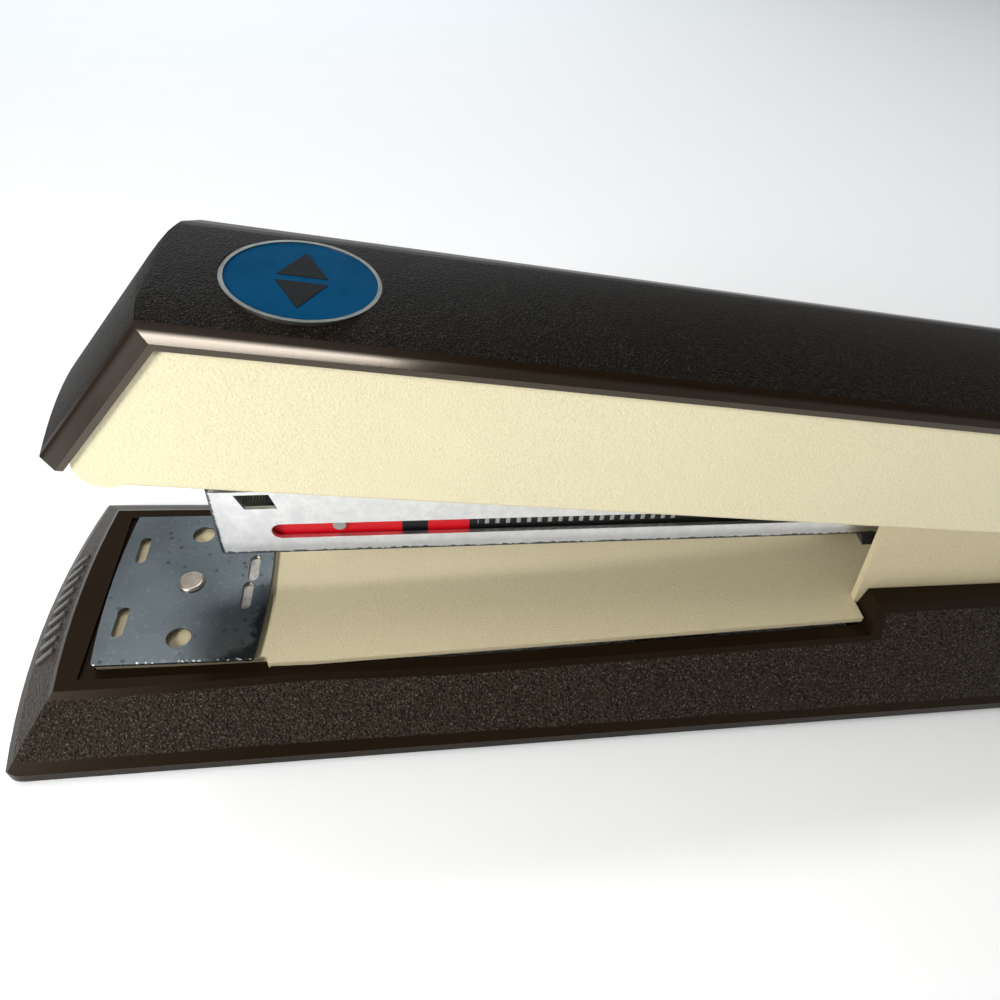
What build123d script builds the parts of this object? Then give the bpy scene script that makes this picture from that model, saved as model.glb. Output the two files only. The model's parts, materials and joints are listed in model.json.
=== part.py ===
from build123d import *
from math import cos, radians, sin, tan
import os

# Desk stapler with a two-way anvil: base, turning anvil, magazine, pusher and handle, in millimetres.
#
# Frame: +Z up from the table, -X towards the nose, Y across, origin under the middle of the base.
# The magazine and the handle are drawn in their own side frames, both centred on the pivot pin:
# the first local axis (m on the magazine, u on the handle) runs from the pin towards the nose,
# the second (n) runs up, the third is +Y.

# ---- Driving dimensions -------------------------------------------------------------------------
FOOT_STAND = 0.8            # lower edge of the base cover above the table
ANVIL_X = -80.0             # centre of the turning anvil plate
PIVOT = (96.0, 0.0, 40.8)   # axis of the pin that the magazine and the handle share
MAGAZINE_DROOP = 0.65       # degrees that the magazine leans down to the nose at rest
HANDLE_RISE = 7.2           # degrees that the handle leans up to the nose at rest

BASE_FRONT_X = -111.0       # foremost point of the base
BASE_REAR_X = 111.0
BASE_HALF_WIDTH = 30.5      # at X = 0, narrowing towards the rear
BASE_TAPER = 0.0239         # half width lost per mm of length
COVER_WALL = 2.2
STEP_X = 51.3               # where the cover steps up beside the ears
STEP_TOP_Z = 22.0
LIP_TOP = 2.9               # upper edge of the cover's upright lip
CORNER_RADIUS = 4.0         # corners of the lip, seen from above
DECK_LINE = [(-88.0, 12.0), (-30.0, 13.2), (STEP_X, 16.85)]   # top of the cover's rails
LEDGE_WIDTH = 1.3           # sunk ledge between the rails and the tray
LEDGE_DROP = 0.7
TRAY_Z = 13.0               # level front of the tray
TRAY_BEND_X = -55.5         # where the tray starts to rise towards the rear
TRAY_SLOPE = 2.6            # degrees
TRAY_SHEET = 1.2
TRAY_ROLL = 0.8             # rounding of the tray's front edge
SEAT_TOP = 12.4
SEAT_FRONT_X = -94.0        # anvil's seat, hidden under the plate
SEAT_REAR_X = -63.4
SEAT_HALF = 17.4
TRAY_HALF_FRONT = 18.6      # half width of the tray at the anvil
TRAY_HALF_STEP = 17.0       # half width of the tray at the step
EAR_OUTER = 12.8            # outer face of the ears
EAR_SHEET = 1.5
EAR_OUTLINE = [(50.8, 17.6), (47.4, 40.5), (52.0, 46.0), (94.0, 48.0), (100.5, 46.8),
               (103.3, 42.3), (103.5, 19.6)]
FRAME_REAR_X = 103.6
TRAY_PLAY = 0.25            # play between the tray and the cover's opening
RIB_PLACES = (-50, 10, 60)  # stiffening ribs inside the cover
BOSS_FOOT = 4.0             # lower end of the ribs and screw bosses
FOOT_TOP = 2.8
FRONT_FOOT = (-104, -95, 24)    # front, rear and half width of the rubber feet
REAR_FOOT = (96, 105, 21)

PLATE_LENGTH = 30.4         # anvil plate along X
PLATE_WIDTH = 36.6
PLATE_EDGE_RADIUS = 160.0   # bow of the plate's front and rear edges
PLATE_SHEET = 0.6
PLATE_BOTTOM_Z = 13.25
GROOVE_OFFSET = 11.25       # groove pairs in front of and behind the plate's centre
PLATE_HOLE_Y = 12.9

MAG_HALF = 7.25             # magazine channel outside
MAG_WALL = 0.8
MAG_BOTTOM = -8.5
MAG_TOP = 6.5
MAG_TAIL = 7.0              # channel behind the pin
MAG_FLOOR = MAG_BOTTOM + MAG_WALL
NOSE_M = 166.4              # nose of the channel, measured from the pin
NOSE_LEAN = -1.0            # degrees that the nose's front wall leans forward
NOSE_WALL = 0.6
SLOT_LOW = -4.8             # long slot that shows the supply label
SLOT_HIGH = -1.35
SLOT_FRONT = 156.7
SLOT_REAR = 52.0
WINDOW = [(154.9, 2.5), (160.3, 2.5), (161.6, 5.8), (155.9, 5.8)]   # hole in the nose's side walls
LABEL_SHEET = 0.25
LABEL_RIVET_M = 145.2
LABEL_RIVET_RADIUS = 1.15

STAPLE_HALF = 6.35          # half the outer width of a standard staple
STAPLE_WIRE = 0.5
LEG_LENGTH = 6.35
LEG_TIP = MAG_FLOOR + 0.05
CROWN_TOP = LEG_TIP + LEG_LENGTH + STAPLE_WIRE
STRIP_FRONT = 164.0         # front and rear of the strip of staples
STRIP_REAR = 156.9
TRACK_HALF = 5.75
TRACK_WALL = 0.8
TRACK_TOP = CROWN_TOP - STAPLE_WIRE - 0.05
TRACK_REAR = 10.0
TRACK_FRONT = STRIP_FRONT - 0.4
TRACK_RIVETS = (28.0, 88.0, 146.0)
RIVET_RADIUS = 1.2
ROD_N = -4.6                # height of the pusher's rod
ROD_RADIUS = 0.8
ROD_REAR = 13.0
TONGUE_REAR = STRIP_REAR - 11.0
TONGUE_LENGTH = 4.5
PUSHER_LENGTH = 12.4
PUSHER_TOP = 3.6

LIFT_SPRING_X = 70.0        # coil between the base and the magazine
LIFT_SPRING_TOP = 31.4
LIFT_SPRING_RADIUS = 4.2
HANDLE_SPRING_M = 40.0      # coil between the magazine and the handle
HANDLE_SPRING_TOP = 19.2
HANDLE_SPRING_RADIUS = 3.8
PUSHER_SPRING_RADIUS = 1.7
ANVIL_SPRING_RADIUS = 4.6

HANDLE_HALF = 16.4          # steel handle outside, at its front
HANDLE_TAPER = 0.005        # half width lost per mm towards the rear
HANDLE_SHEET = 1.2
HANDLE_TOP = 17.6
BEND_RADIUS = 1.2           # long bends of the sheet
FRONT_LOW = (180.2, -2.7)   # front line of the steel handle, lower end
FRONT_HIGH = (166.8, 17.6)  # and upper end
SKIRT_FRONT = (175.4, -7.1) # lower edge of the handle's sides, at the front
SKIRT_REAR = (29.0, -4.7)
TAIL_U = 2.0                # centre of the round tail
TAIL_RADIUS = 10.7
CAP_HALF = 17.0
CAP_CREASE_HALF = 14.4      # where the grained top meets the plain border
CAP_GAP = 0.03              # play between the cap and the steel
CAP_LIP = 0.9               # cap's edge above the steel
CAP_CREASE = 1.6
CAP_CROWN = 2.9
CAP_FRONT_RISE = (0.9, 3.2, 5.0)   # the same three heights on the raked front
CAP_KNEE = 5.5              # radius between the cap's top and its front
CAP_FRONT_LOW = -4.0        # lower edge of the cap's front
CAP_REAR = -3.0             # rear end of the cap, just behind the pin
CAP_SCREWS = (24.0, 96.0)
BADGE_U = 150.8             # centre of the round badge
BADGE_RADIUS = 11.1
BADGE_RIM = 0.6
BADGE_FLOOR = HANDLE_TOP + 1.3

HOLDER_TOP = HANDLE_TOP - HANDLE_SHEET - 0.03
HOLDER_SHEET = 1.4
HOLDER_HALF = 6.0
HOLDER_SCREWS = (124.0, 138.0)
BLADE_M = 164.65            # middle of the driver blade
BLADE_THICK = 0.5
BLADE_TIP = CROWN_TOP + 0.5
BLADE_TOP = 30.0

PIN_RADIUS = 2.5
PIN_BORE = PIN_RADIUS + 0.06
PIN_REACH = 15.65           # half length of the pin's shank
WASHER_OUTER = 14.15        # outer end of the washers beside the ears
SCREW_BORE = 1.5
FRAME_SCREWS = [(-50, 10), (-50, -10), (60, 7), (60, -7)]

FAR = 60.0                  # reach of cutting shapes, beyond every piece

MAGAZINE = Plane(origin=PIVOT,
                 x_dir=(-cos(radians(MAGAZINE_DROOP)), 0, -sin(radians(MAGAZINE_DROOP))),
                 z_dir=(0, 1, 0))
HANDLE = Plane(origin=PIVOT,
               x_dir=(-cos(radians(HANDLE_RISE)), 0, sin(radians(HANDLE_RISE))),
               z_dir=(0, 1, 0))

FRONT_LINE = Vector(*FRONT_HIGH) - Vector(*FRONT_LOW)
RAKE = (FRONT_LINE.X / FRONT_LINE.length, FRONT_LINE.Y / FRONT_LINE.length)
FRONT_Q = FRONT_LOW[0] * RAKE[1] - FRONT_LOW[1] * RAKE[0]   # distance of the front face from the pin


# ---- Helpers ------------------------------------------------------------------------------------
def side_prism(points, half_width):
    """Solid with the given X-Z outline, spanning Y from -half_width to half_width."""
    face = make_face(Plane.XZ * Polyline(*points, close=True))
    return extrude(face, half_width, both=True)


def local_prism(outline, low, high):
    """Solid with an outline in a side frame, spanning local Y from low to high."""
    if isinstance(outline, list):
        outline = Polyline(*outline, close=True)
    return Pos(0, 0, low) * extrude(make_face(outline), high - low, dir=(0, 0, 1))


def local_box(rear, front, low, high, half):
    """Box in a side frame, from rear to front along it and from low to high."""
    return local_prism([(rear, low), (front, low), (front, high), (rear, high)], -half, half)


def across(radius, low, high, along=0.0, up=0.0):
    """Cylinder along local Y of a side frame, from low to high."""
    return Pos(along, up, (low + high) / 2) * Cylinder(radius, high - low)


def local_upright(radius, low, high, along):
    """Cylinder standing in a side frame, from low to high."""
    return Pos(along, (low + high) / 2, 0) * Rot(90, 0, 0) * Cylinder(radius, high - low)


def upright(radius, low, high, x=0.0, y=0.0):
    """Cylinder along Z."""
    return Pos(x, y, (low + high) / 2) * Cylinder(radius, high - low)


def block(x_low, x_high, half_width, z_low, z_high):
    """Box centred on Y = 0."""
    size = (x_high - x_low, 2 * half_width, z_high - z_low)
    return Pos((x_low + x_high) / 2, 0, (z_low + z_high) / 2) * Box(*size)


def mirrored(points):
    """Plan points on the +Y side, followed by their mirror images in reverse order."""
    return points + [(x, -y) for x, y in reversed(points)]


def plan_prism(points):
    """Tall solid with the given plan outline, standing on Z = 0."""
    return extrude(make_face(Polyline(*points, close=True)), FAR, dir=(0, 0, 1))


def tray_height(x):
    """Top of the tray at x."""
    return TRAY_Z + max(0.0, x - TRAY_BEND_X) * tan(radians(TRAY_SLOPE))


def magazine_to_handle(m, n):
    """A point of the magazine's side frame in the handle's side frame, at rest."""
    turn = radians(HANDLE_RISE + MAGAZINE_DROOP)
    return m * cos(turn) + n * sin(turn), n * cos(turn) - m * sin(turn)


def nose_wall(n):
    """Outer face of the channel's front wall at height n."""
    return NOSE_M + (n - MAG_BOTTOM) * tan(radians(NOSE_LEAN))


# ---- Base ---------------------------------------------------------------------------------------
def cover_section(x, top_half, top_z, inset):
    """Cross-section of the cover at x: an upright lip, then one straight flank."""
    half = BASE_HALF_WIDTH - BASE_TAPER * x - inset
    right = [(half, FOOT_STAND - inset), (half, LIP_TOP), (top_half - inset, top_z)]
    left = [(-y, z) for y, z in reversed(right)]
    place = Plane(origin=(x, 0, 0), x_dir=(0, 1, 0), z_dir=(1, 0, 0))
    return make_face(place * Polyline(*right, *left, close=True))


def front_outline(z, front_x, bow_radius):
    """Plan outline whose front edge bows forward to front_x."""
    half, rear_x = 40.0, 115
    bow = half * half / (2 * bow_radius)
    arc = ThreePointArc((front_x + bow, -half), (front_x, 0), (front_x + bow, half))
    sides = Polyline((front_x + bow, half), (rear_x, half), (rear_x, -half), (front_x + bow, -half))
    return make_face(Plane.XY.offset(z) * Curve([*arc.edges(), *sides.edges()]))


def cover_form(inset):
    """Outer form of the cover, or its cavity when inset by the wall thickness."""
    flanks = ((-113, 18.8, 15.0), (TRAY_BEND_X, 18.0, 15.2), (STEP_X, 15.9, 24.0), (115, 13.0, 26.0))
    skirt = loft([cover_section(*place, inset) for place in flanks], ruled=True)
    drop = inset * 0.9
    low = FOOT_STAND - inset
    rear_x = BASE_REAR_X - inset
    rails = [(x, z - drop) for x, z in DECK_LINE[:-1]]
    step = [(STEP_X + inset, DECK_LINE[-1][1] - drop), (STEP_X + 0.6 + inset, STEP_TOP_Z - drop)]
    rear_top = [(80, 22.4 - drop), (102, 20.9 - drop), (rear_x - 2.5, 18.5 - drop)]
    top = [(-116, low), (-116, rails[0][1]), *rails, *step, *rear_top, (rear_x, low)]
    front_x = BASE_FRONT_X + inset
    lip_bow, deck_bow, bevel_run, bevel_top = 150, 175, 12.9, 15.0
    lip = extrude(front_outline(low, front_x, lip_bow), LIP_TOP - low, dir=(0, 0, 1))
    bevel = loft([front_outline(LIP_TOP, front_x, lip_bow),
                  front_outline(bevel_top, front_x + bevel_run, deck_bow)], ruled=True)
    rear = block(-62, 115, 40, low, 32)
    return (skirt & side_prism(top, 40)) & (lip + bevel + rear) & rounded_plan(inset)


def rounded_plan(inset):
    """Everything inside the cover's plan outline with its corners rounded."""
    front_x = BASE_FRONT_X + 2.0 + inset
    rear_x = BASE_REAR_X - inset
    front_half = BASE_HALF_WIDTH - BASE_TAPER * front_x - inset
    rear_half = BASE_HALF_WIDTH - BASE_TAPER * rear_x - inset
    solid = plan_prism(mirrored([(front_x, front_half), (rear_x, rear_half)]))
    solid = Pos(0, 0, -5) * fillet(solid.edges().filter_by(Axis.Z), CORNER_RADIUS)
    bow = Box(2 * CORNER_RADIUS + 6, 2 * (front_half - CORNER_RADIUS), FAR)
    return solid + Pos(front_x, 0, 20) * bow


def tray_opening(gap):
    """Plan outline of the anvil's seat, the tray and the ears' floor, widened by gap."""
    step_x = STEP_X - 0.4 + gap
    return plan_prism(mirrored([
        (SEAT_FRONT_X - gap, SEAT_HALF + gap), (SEAT_REAR_X - gap, SEAT_HALF + gap),
        (SEAT_REAR_X - gap, TRAY_HALF_FRONT + gap), (TRAY_BEND_X, TRAY_HALF_FRONT + gap),
        (step_x, TRAY_HALF_STEP + gap), (step_x, EAR_OUTER + gap), (FRAME_REAR_X + gap, EAR_OUTER + gap)]))


def ledge():
    """Sunk ledge in the rails, all round the plate and along the tray."""
    half_front, half_step = TRAY_HALF_FRONT + LEDGE_WIDTH, TRAY_HALF_STEP + LEDGE_WIDTH
    front_x = ANVIL_X - PLATE_LENGTH / 2 - LEDGE_WIDTH
    corners = [(front_x, half_front), (TRAY_BEND_X, half_front), (STEP_X - 0.4, half_step)]
    outline = plan_prism(mirrored(corners))
    floor = [(x, z - LEDGE_DROP) for x, z in DECK_LINE]
    return outline & side_prism([(-120, floor[0][1]), *floor, (STEP_X, FAR), (-120, FAR)], FAR)


def under_tray():
    """Everything from the underside of the frame's sheet upwards."""
    end_x, seat_end_x = 112, -64.6
    level = TRAY_Z - TRAY_SHEET
    points = [(-120, SEAT_TOP - TRAY_SHEET), (seat_end_x, SEAT_TOP - TRAY_SHEET), (seat_end_x, level),
              (TRAY_BEND_X, level), (end_x, tray_height(end_x) - TRAY_SHEET), (end_x, FAR), (-120, FAR)]
    return side_prism(points, FAR)


def base_cover():
    cavity = cover_form(COVER_WALL)
    shell = cover_form(0) - cavity - tray_opening(TRAY_PLAY) - ledge()
    ribs = [block(x - 1, x + 1, 40, BOSS_FOOT, 30) for x in RIB_PLACES]
    foot_blocks = [block(foot[0] - 1, foot[1] + 1, 40, FOOT_TOP, 30) for foot in (FRONT_FOOT, REAR_FOOT)]
    bosses = [upright(4, BOSS_FOOT, 25, x, y) for x, y in FRAME_SCREWS]
    inner = Part() + ribs + foot_blocks + bosses
    inner = (inner & cavity) - (under_tray() & tray_opening(1.0))
    shell = shell + inner
    for x, y in FRAME_SCREWS:
        shell -= upright(SCREW_BORE + 0.05, 0, 25, x, y)
    return shell


def frame_sheet():
    """The tray with its rolled front edge, and the anvil's seat pressed down in front of it."""
    seat = block(SEAT_FRONT_X, -63.0, TRAY_HALF_FRONT, SEAT_TOP - TRAY_SHEET, SEAT_TOP)
    end_z = tray_height(FRAME_REAR_X)
    front_x = -66
    top = [(front_x, TRAY_Z), (TRAY_BEND_X, TRAY_Z), (FRAME_REAR_X, end_z)]
    under = [(x, z - TRAY_SHEET) for x, z in reversed(top)]
    bow_centre = ANVIL_X + PLATE_LENGTH / 2 + 0.5 - PLATE_EDGE_RADIUS
    tray = side_prism(top + under, 30) - upright(PLATE_EDGE_RADIUS, 0, 30, bow_centre)
    tray &= tray_opening(0)
    front_edge = tray.edges().filter_by(GeomType.CIRCLE).group_by(Axis.Z)[-1]
    return (seat & tray_opening(0)) + fillet(front_edge, TRAY_ROLL)


def ears():
    """The two ears that hold the pivot pin."""
    px, _, pz = PIVOT
    plates = side_prism(EAR_OUTLINE, EAR_OUTER) - block(40, 110, EAR_OUTER - EAR_SHEET, 0, FAR)
    return plates - Pos(px, 0, pz) * Rot(90, 0, 0) * Cylinder(PIN_RADIUS, FAR)


def base_frame():
    frame = frame_sheet() + ears()
    frame -= upright(2.1, 0, 30, ANVIL_X)
    for x, y in FRAME_SCREWS:
        frame -= upright(SCREW_BORE, 0, tray_height(x) - 0.3, x, y)
    return frame


def frame_screws():
    """Pan-head screws that hold the frame down on the cover's bosses."""
    head_low = 2.2
    return [upright(2.8, head_low, BOSS_FOOT, x, y) + upright(SCREW_BORE, 3.9, tray_height(x) - 0.35, x, y)
            for x, y in FRAME_SCREWS]


def rubber_foot(x_low, x_high, half_width):
    foot = block(x_low, x_high, half_width, 0, FOOT_TOP)
    return fillet(foot.edges().filter_by(Axis.Z), 2.0)


def pivot_pin():
    px, _, pz = PIVOT
    at_pin = Pos(px, 0, pz) * Rot(90, 0, 0)
    pin = at_pin * Cylinder(PIN_RADIUS, 2 * PIN_REACH)
    head = fillet(Cylinder(4.4, 0.9).edges().group_by(Axis.Z)[-1], 0.6)
    heads = [at_pin * Rot(side, 0, 0) * Pos(0, 0, PIN_REACH + 0.35) * head for side in (0, 180)]
    return pin + heads


def pin_sleeves(low, high, radius):
    """A pair of sleeves on the pivot pin, one each side, in the magazine's frame."""
    sleeves = []
    for side_low, side_high in ((low, high), (-high, -low)):
        bore = across(PIN_RADIUS + 0.02, side_low - 1, side_high + 1)
        sleeves.append(MAGAZINE * (across(radius, side_low, side_high) - bore))
    return sleeves


def lift_spring():
    """Coil under the magazine, drawn as a sleeve of the coil's size."""
    low = tray_height(LIFT_SPRING_X) + 0.4
    outer = upright(LIFT_SPRING_RADIUS, low, LIFT_SPRING_TOP, LIFT_SPRING_X)
    return outer - upright(LIFT_SPRING_RADIUS - 0.9, low - 1, LIFT_SPRING_TOP + 1, LIFT_SPRING_X)


# ---- Anvil --------------------------------------------------------------------------------------
def rounded_bar(length, width, height, z):
    """Bar along Y with round ends, its top at z."""
    bar = Pos(0, 0, z - height / 2) * Box(width, length - width, height)
    ends = [upright(width / 2, z - height, z, 0, side * (length - width) / 2) for side in (1, -1)]
    return bar + ends


def anvil_plate():
    """Plate with two clinching grooves at one end and two pinning slots at the other."""
    top = PLATE_BOTTOM_Z + PLATE_SHEET
    plate = Pos(0, 0, top - PLATE_SHEET / 2) * Box(PLATE_LENGTH + 4, PLATE_WIDTH, PLATE_SHEET)
    bow = PLATE_EDGE_RADIUS - PLATE_LENGTH / 2
    for side in (1, -1):
        plate &= upright(PLATE_EDGE_RADIUS, 0, 30, -side * bow)
    plate = fillet(plate.edges().filter_by(Axis.Z), 0.6)
    clinch = [Pos(GROOVE_OFFSET + side * 0.25, side * 3.45, 0) for side in (1, -1)]
    pinning = [Pos(-GROOVE_OFFSET, side * 8.95, 0) for side in (1, -1)]
    for place in clinch:
        plate += place * rounded_bar(7.6, 3.0, 1.0, top)
    for place in clinch:
        plate -= place * rounded_bar(6.6, 2.0, 0.8, top)
    for place in pinning:
        plate -= place * rounded_bar(6.9, 2.0, 3.0, top + 1)
    for y in (PLATE_HOLE_Y, -PLATE_HOLE_Y):
        plate -= upright(2.2, 0, 30, 0, y)
    plate -= upright(2.06, 0, 30)
    return Pos(ANVIL_X, 0, 0) * plate


def anvil_post():
    """Rivet post with a domed head that holds the plate down."""
    plate_top = PLATE_BOTTOM_Z + PLATE_SHEET
    dome = upright(2.5, plate_top + 0.05, plate_top + 0.75, ANVIL_X)
    dome = fillet(dome.edges().group_by(Axis.Z)[-1], 0.6)
    return dome + upright(2.0, 2.6, plate_top + 0.1, ANVIL_X)


def anvil_button():
    """Moulded button under the base that lifts the post."""
    button = upright(6.5, 1.6, 3.6, ANVIL_X) + upright(3.4, 3.6, 4.6, ANVIL_X)
    button = fillet(button.edges().group_by(Axis.Z)[0], 0.6)
    return button - upright(2.0, 2.6, 10, ANVIL_X)


def anvil_spring():
    """Coil between the button and the frame, drawn as a sleeve."""
    outer = upright(ANVIL_SPRING_RADIUS, 3.7, 11.1, ANVIL_X)
    return outer - upright(ANVIL_SPRING_RADIUS - 0.8, 3, 12, ANVIL_X)


# ---- Magazine -----------------------------------------------------------------------------------
def side_slot():
    """Long slot in both channel walls that shows the supply label."""
    middle = (SLOT_LOW + SLOT_HIGH) / 2
    radius = (SLOT_HIGH - SLOT_LOW) / 2
    bar = local_box(SLOT_REAR, SLOT_FRONT - radius, SLOT_LOW, SLOT_HIGH, 10)
    return bar + [across(radius, -10, 10, m, middle) for m in (SLOT_FRONT - radius, SLOT_REAR)]


def magazine_channel():
    outer = [(-MAG_TAIL, MAG_BOTTOM), (nose_wall(MAG_BOTTOM), MAG_BOTTOM), (nose_wall(MAG_TOP), MAG_TOP),
             (-MAG_TAIL, MAG_TOP)]
    inner = [(-20, MAG_FLOOR), (nose_wall(MAG_FLOOR) - NOSE_WALL, MAG_FLOOR),
             (nose_wall(10) - NOSE_WALL, 10), (-20, 10)]
    body = local_prism(outer, -MAG_HALF, MAG_HALF)
    front_edges = [e for e in body.edges()
                   if e.center().X > NOSE_M - 1 and abs(e.center().Z) > MAG_HALF - 0.1
                   and abs(e.center().Y) < MAG_TOP - 1]
    body = fillet(front_edges, 1.3)
    inner_half = MAG_HALF - MAG_WALL
    body -= local_prism(inner, -inner_half, inner_half)
    body -= local_box(STRIP_FRONT - 0.4, NOSE_M - NOSE_WALL, -10, -7, inner_half)
    body -= local_prism(WINDOW, -10, 10)
    body -= side_slot()
    body -= across(PIN_BORE, -10, 10)
    for m in TRACK_RIVETS:
        body -= local_upright(RIVET_RADIUS, MAG_BOTTOM - 2, MAG_BOTTOM + 2, m)
    return MAGAZINE * body


def staple_track():
    """Inner rail that the staples ride on: a box with a slot on top for the pusher's tongue."""
    track = local_box(TRACK_REAR, TRACK_FRONT, MAG_FLOOR, TRACK_TOP, TRACK_HALF)
    track -= local_box(TRACK_REAR - 1, TRACK_FRONT + 6, MAG_FLOOR + TRACK_WALL, TRACK_TOP - TRACK_WALL,
                       TRACK_HALF - TRACK_WALL)
    track -= local_box(24, STRIP_REAR - 2, ROD_N, 5, 1.3)
    for m in TRACK_RIVETS:
        track -= local_upright(RIVET_RADIUS, MAG_FLOOR - 2, MAG_FLOOR + 2, m)
    return MAGAZINE * track


def track_rivets():
    """Rivets through the channel's floor into the track."""
    rivets = []
    for m in TRACK_RIVETS:
        shank = local_upright(RIVET_RADIUS, MAG_BOTTOM - 0.2, MAG_BOTTOM + 2.0, m)
        head = local_upright(2.0, MAG_BOTTOM - 0.5, MAG_BOTTOM, m)
        rivets.append(MAGAZINE * (shank + head))
    return rivets


def supply_label():
    """Thin printed strips on both sides of the track, behind the slots."""
    outline = [(SLOT_REAR - 2, SLOT_LOW - 0.4), (SLOT_FRONT + 0.1, SLOT_LOW - 0.4),
               (SLOT_FRONT + 0.1, SLOT_HIGH + 0.05), (SLOT_REAR - 2, SLOT_HIGH + 0.05)]
    inner = TRACK_HALF + 0.02
    outer = inner + LABEL_SHEET
    return [MAGAZINE * local_prism(outline, low, high) for low, high in ((inner, outer), (-outer, -inner))]


def label_rivets():
    """Small rivets seen in the slots."""
    inner = TRACK_HALF + LABEL_SHEET + 0.05
    outer = inner + 0.5
    up = (SLOT_LOW + SLOT_HIGH) / 2 + 0.4
    return [MAGAZINE * across(LABEL_RIVET_RADIUS, low, high, LABEL_RIVET_M, up)
            for low, high in ((inner, outer), (-outer, -inner))]


def along_rod(radius, m_low, m_high):
    """Cylinder along the magazine, on the pusher rod's axis."""
    return Pos((m_low + m_high) / 2, ROD_N, 0) * Rot(0, 90, 0) * Cylinder(radius, m_high - m_low)


def rear_block():
    """Moulded block in the track's rear end that holds the rod."""
    play = TRACK_WALL + 0.05
    body = local_box(TRACK_REAR + 1, TRACK_REAR + 10, MAG_FLOOR + play, TRACK_TOP - play, TRACK_HALF - play)
    return MAGAZINE * (body - along_rod(ROD_RADIUS, ROD_REAR, 30))


def pusher_rod():
    return MAGAZINE * along_rod(ROD_RADIUS, ROD_REAR, STRIP_REAR - 1)


def pusher_spring():
    """Long coil on the rod, drawn as a sleeve."""
    sleeve = along_rod(PUSHER_SPRING_RADIUS, TRACK_REAR + 10.2, TONGUE_REAR - 0.4)
    return MAGAZINE * (sleeve - along_rod(PUSHER_SPRING_RADIUS - 0.6, TRACK_REAR + 10, TONGUE_REAR))


def pusher():
    """Slider that rides on the track; its tongue runs on the rod inside."""
    front = STRIP_REAR - 0.1
    rear = front - PUSHER_LENGTH
    low = TRACK_TOP + 0.1
    head = local_prism([(rear, low), (front, low), (front, PUSHER_TOP - 1.2), (front - 3.0, PUSHER_TOP),
                        (rear, PUSHER_TOP)], -5.9, 5.9)
    tongue = local_box(TONGUE_REAR, TONGUE_REAR + TONGUE_LENGTH, -6.2, low + 0.1, 1.1)
    tongue = tongue + along_rod(1.8, TONGUE_REAR, TONGUE_REAR + TONGUE_LENGTH)
    grip_top = PUSHER_TOP + 2.0
    grip = local_prism([(front - 10.5, PUSHER_TOP), (front - 9.0, grip_top), (front - 5.5, grip_top),
                        (front - 4.5, PUSHER_TOP)], -3.0, 3.0)
    return MAGAZINE * (head + tongue + grip - along_rod(ROD_RADIUS + 0.08, TONGUE_REAR - 5, STRIP_REAR))


def staple_strip():
    """Remaining strip of standard staples at the front of the track."""
    strip = local_box(STRIP_REAR, STRIP_FRONT, LEG_TIP, CROWN_TOP, STAPLE_HALF)
    inside = local_box(STRIP_REAR - 10, STRIP_FRONT + 10, -20, CROWN_TOP - STAPLE_WIRE,
                       STAPLE_HALF - STAPLE_WIRE)
    return MAGAZINE * (strip - inside)


def spring_bridge():
    """Plate across the channel that carries the handle's spring."""
    m = HANDLE_SPRING_M
    plate = local_box(m - 8, m + 8, MAG_TOP, MAG_TOP + 0.8, MAG_HALF)
    return MAGAZINE * (plate + local_upright(2.4, MAG_TOP + 0.7, MAG_TOP + 2.5, m))


def handle_spring():
    """Coil between the bridge and the handle, drawn as a sleeve."""
    low = MAG_TOP + 0.9
    outer = local_upright(HANDLE_SPRING_RADIUS, low, HANDLE_SPRING_TOP, HANDLE_SPRING_M)
    inner = local_upright(HANDLE_SPRING_RADIUS - 0.8, low - 1, HANDLE_SPRING_TOP + 1, HANDLE_SPRING_M)
    return MAGAZINE * (outer - inner)


def rest_stop():
    """Black moulded block under the channel, in front of the ears."""
    top, low = MAG_BOTTOM - 0.02, MAG_BOTTOM - 5.4
    return MAGAZINE * local_prism([(46.5, top), (38.5, top), (39.5, low), (44.0, low)], -5.5, 5.5)


# ---- Handle -------------------------------------------------------------------------------------
def front_point(q, along):
    """Point at distance q from the pin, square to the front face, and a distance along the face."""
    return q * RAKE[1] + along * RAKE[0], -q * RAKE[0] + along * RAKE[1]


def front_along(point):
    """How far a point lies along the raked front face."""
    return point[0] * RAKE[0] + point[1] * RAKE[1]


def handle_outline():
    """Side outline of the steel handle."""
    tail_centre = HANDLE_TOP - TAIL_RADIUS
    low_rear = (TAIL_U, tail_centre - TAIL_RADIUS)
    corner = ThreePointArc(FRONT_LOW, (179.0, -6.2), SKIRT_FRONT)
    tail = ThreePointArc(low_rear, (TAIL_U - TAIL_RADIUS, tail_centre), (TAIL_U, HANDLE_TOP))
    lines = [Line((TAIL_U, HANDLE_TOP), FRONT_HIGH), Line(FRONT_HIGH, FRONT_LOW),
             Polyline(SKIRT_FRONT, SKIRT_REAR, low_rear)]
    return Curve([edge for line in (*lines, corner, tail) for edge in line.edges()])


def tapered(half):
    """Everything between the handle's two side planes, half apart at the front."""
    front, rear = 185.0, -25.0
    rear_half = half - HANDLE_TAPER * (front - rear)
    corners = [(rear, 0, -rear_half), (front, 0, -half), (front, 0, half), (rear, 0, rear_half)]
    plan = Polyline(*corners, close=True)
    return Pos(0, -FAR, 0) * extrude(make_face(plan), 2 * FAR, dir=(0, 1, 0))


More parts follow.
